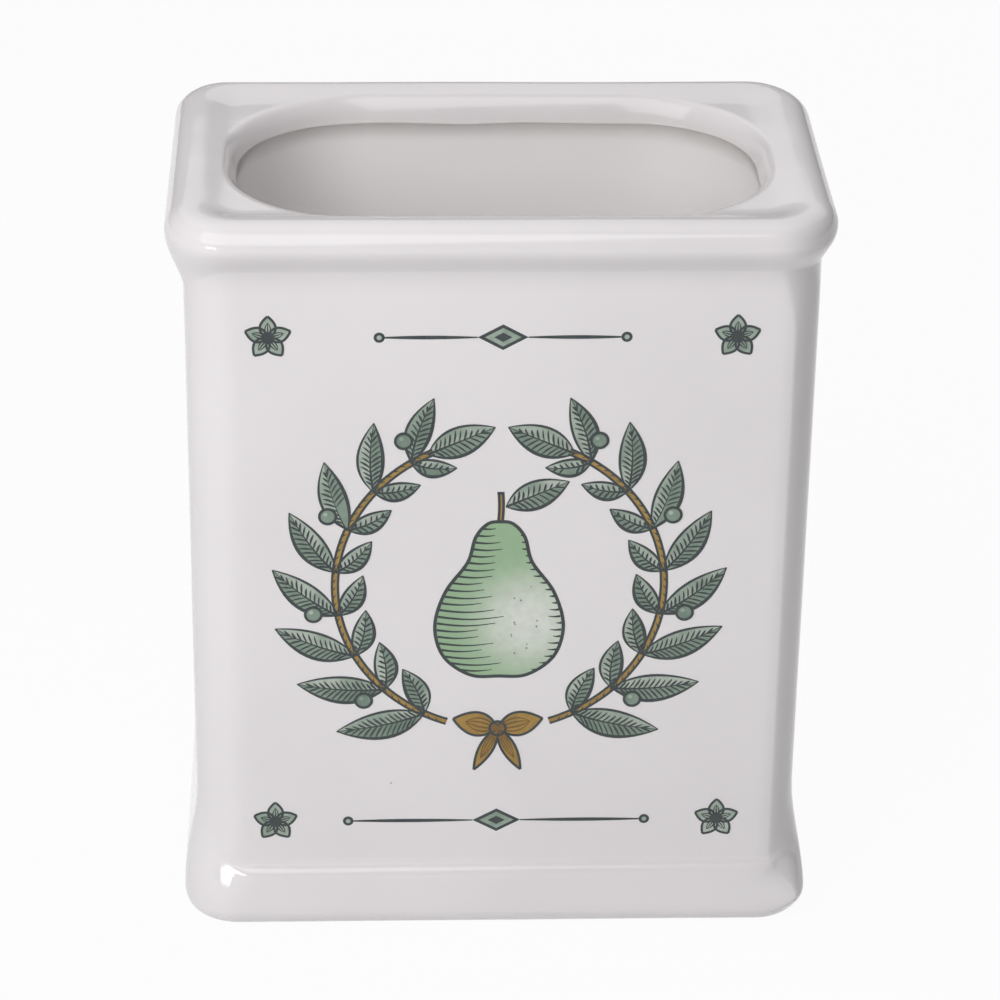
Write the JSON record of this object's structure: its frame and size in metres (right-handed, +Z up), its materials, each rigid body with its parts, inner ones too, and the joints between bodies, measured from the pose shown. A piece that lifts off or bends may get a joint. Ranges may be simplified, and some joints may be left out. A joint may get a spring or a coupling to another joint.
{
  "type": "ceramic crock",
  "caption": "Open rectangular ceramic crock shaped like an oil tin, with a rolled rim, oblong mouth, flared plinth and a botanical print on its front.",
  "frame": {"origin": "middle of the base, on the surface that the crock stands on", "axes": "+Z up through the mouth, -Y out of the printed front wall, +X to the right of someone facing the print"},
  "size_m": [0.12, 0.075, 0.1448],
  "materials": {
    "white_glaze": "glossy white glaze over a slip-cast body",
    "sage_enamel": "fired-on sage green transfer",
    "pale_green_enamel": "fired-on pale green transfer",
    "ochre_enamel": "fired-on ochre transfer",
    "charcoal_enamel": "fired-on charcoal transfer"
  },
  "bodies": {
    "root": {"cast_body": "white_glaze", "left_branch_print": "sage_enamel", "right_branch_print": "sage_enamel", "bow_print": "ochre_enamel", "pear_print": "pale_green_enamel", "pear_stalk_print": "ochre_enamel", "pear_leaf_print": "sage_enamel", "top_rule_print": "charcoal_enamel", "base_rule_print": "charcoal_enamel", "upper_left_rosette_print": "charcoal_enamel", "upper_right_rosette_print": "charcoal_enamel", "lower_left_rosette_print": "charcoal_enamel", "lower_right_rosette_print": "charcoal_enamel"}
  },
  "joints": []
}
